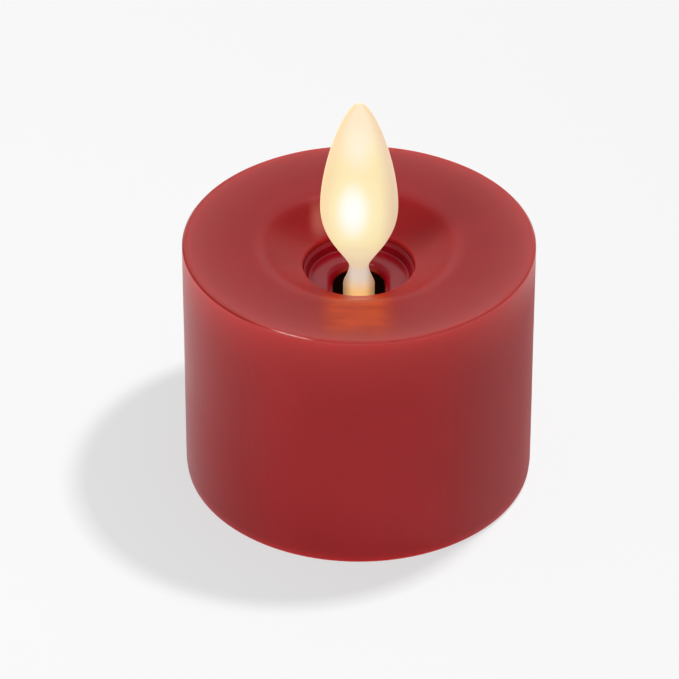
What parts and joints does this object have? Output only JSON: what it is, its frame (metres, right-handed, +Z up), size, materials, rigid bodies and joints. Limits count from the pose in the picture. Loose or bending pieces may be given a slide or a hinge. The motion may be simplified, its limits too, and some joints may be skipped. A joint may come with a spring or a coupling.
{
  "type": "flameless led candle",
  "caption": "Flameless tealight candle: red wax cylinder with a melted bowl and a lit flame petal that swings on a wire over a coil.",
  "frame": {"origin": "centre of the wax body's foot, on the surface that it stands on", "axes": "+Z up along the flame; -Y to the front, where the lamp shines up at the flame; +X to the right seen from the front"},
  "size_m": [0.038, 0.038, 0.0467],
  "materials": {
    "wax": "satin",
    "red_plastic": "gloss",
    "black_plastic": "satin",
    "flame_plastic": "satin",
    "steel_wire": "polished",
    "magnet_nickel": "polished",
    "bobbin_nylon": "satin",
    "copper": "gloss",
    "board": "satin",
    "chip_black": "satin",
    "capacitor_tan": "satin",
    "lamp_epoxy": "gloss",
    "tin": "satin",
    "contact_bronze": "satin",
    "cell_steel": "satin",
    "gasket": "matte",
    "base_black": "matte",
    "switch_grey": "satin",
    "knob_white": "satin",
    "screw_zinc": "satin"
  },
  "bodies": {
    "housing": {"wax_shell": "wax", "well_liner": "red_plastic", "mechanism_frame": "black_plastic", "coil_bobbin": "bobbin_nylon", "coil_winding": "copper", "coil_leads": "copper", "circuit_board": "board", "driver_chip": "chip_black", "chip_resistors": "chip_black", "chip_capacitors": "capacitor_tan", "led": "lamp_epoxy", "led_leads": "tin", "battery_negative_contact": "contact_bronze", "battery_positive_contact": "contact_bronze", "solder_joints": "tin", "coin_cell_can": "cell_steel", "coin_cell_gasket": "gasket", "coin_cell_cap": "cell_steel", "base_housing": "base_black", "switch_body": "switch_grey", "switch_pins": "tin", "base_screws": "screw_zinc"},
    "wire": {"pivot_wire": "steel_wire"},
    "flame_body": {"flame": "flame_plastic", "flame_magnet": "magnet_nickel"},
    "door": {"battery_door": "base_black"},
    "switch": {"switch_slider": "knob_white", "switch_knob": "knob_white"}
  },
  "joints": [
    {"name": "flame_swing", "type": "hinge", "parent": "housing", "child": "wire", "pos_m": [0, 0, 0.0209], "axis": [1, 0, 0], "range_deg": [-8, 8]},
    {"name": "flame_sway", "type": "hinge", "parent": "wire", "child": "flame_body", "pos_m": [0, 0, 0.0209], "axis": [0, 1, 0], "range_deg": [-4, 4]},
    {"name": "battery_door_turn", "type": "hinge", "parent": "housing", "child": "door", "pos_m": [0, 0.0013, 0.0008], "axis": [0, 0, 1], "range_deg": [0, 30]},
    {"name": "switch_slide", "type": "slide", "parent": "housing", "child": "switch", "axis": [1, 0, 0], "range_m": [-0.0015, 0.0015]}
  ]
}
